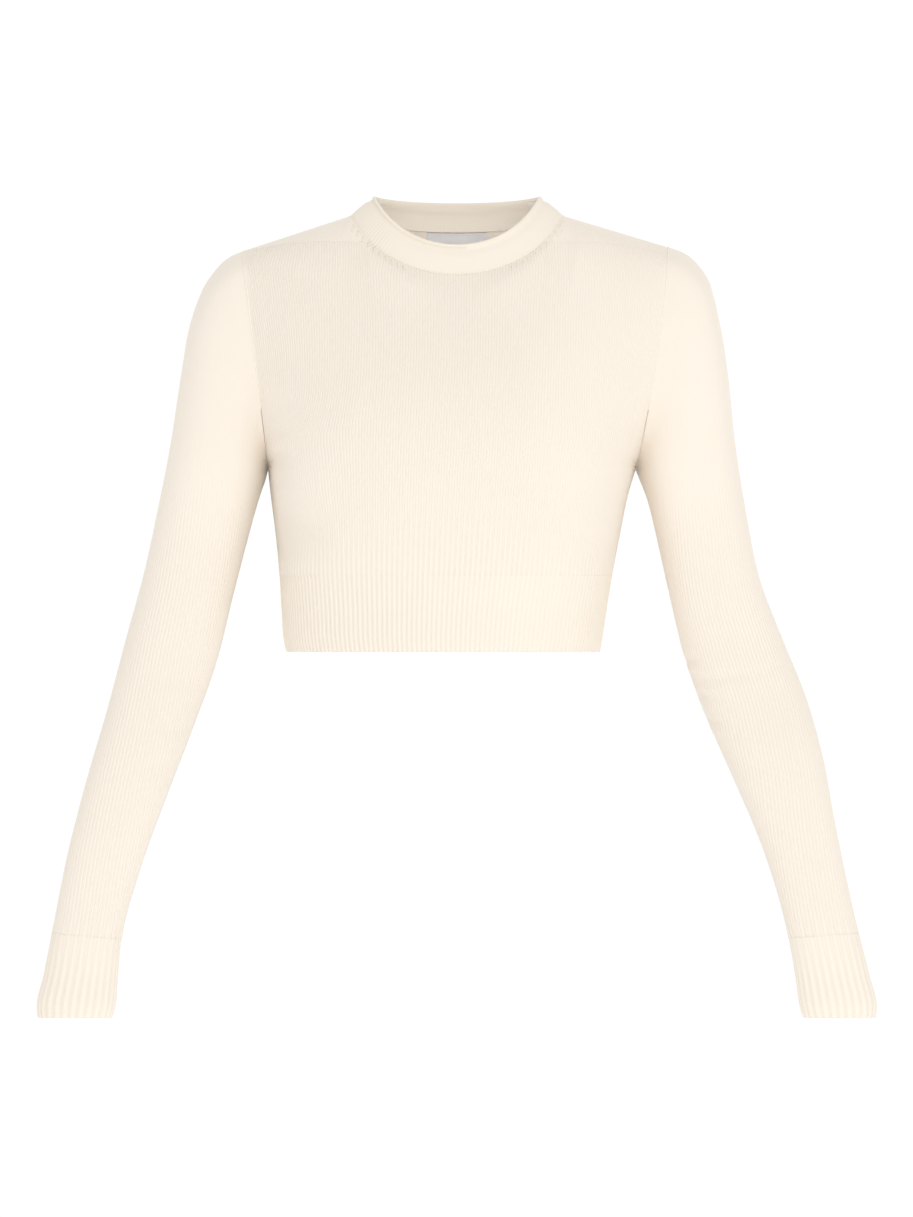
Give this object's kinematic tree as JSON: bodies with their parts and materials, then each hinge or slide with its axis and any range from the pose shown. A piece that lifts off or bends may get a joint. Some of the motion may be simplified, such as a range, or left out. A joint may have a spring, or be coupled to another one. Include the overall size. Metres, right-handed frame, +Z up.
{
  "type": "cropped long-sleeve knit top",
  "caption": "Cropped fine-knit top with long sleeves, rolled crew neckband, deep ribbed hem and cuffs, held open in its hollow worn form.",
  "frame": {"origin": "midway between the two places where the neckband meets the top of the shoulders", "axes": "+Z up as worn, the chest faces -Y, +X towards the wearer's left"},
  "size_m": [0.6704, 0.2323, 0.6559],
  "materials": {
    "knit": "cream fine-gauge plain knit, matt with a soft nap",
    "rib": "cream rib knit, matt with a soft nap",
    "label": "lavender-grey woven tape, blank"
  },
  "bodies": {
    "root": {"front": "knit", "back": "knit", "left_sleeve": "knit", "right_sleeve": "knit", "neckband": "rib", "front_hem_rib": "rib", "back_hem_rib": "rib", "left_cuff": "rib", "right_cuff": "rib", "neck_label": "label"}
  },
  "joints": []
}
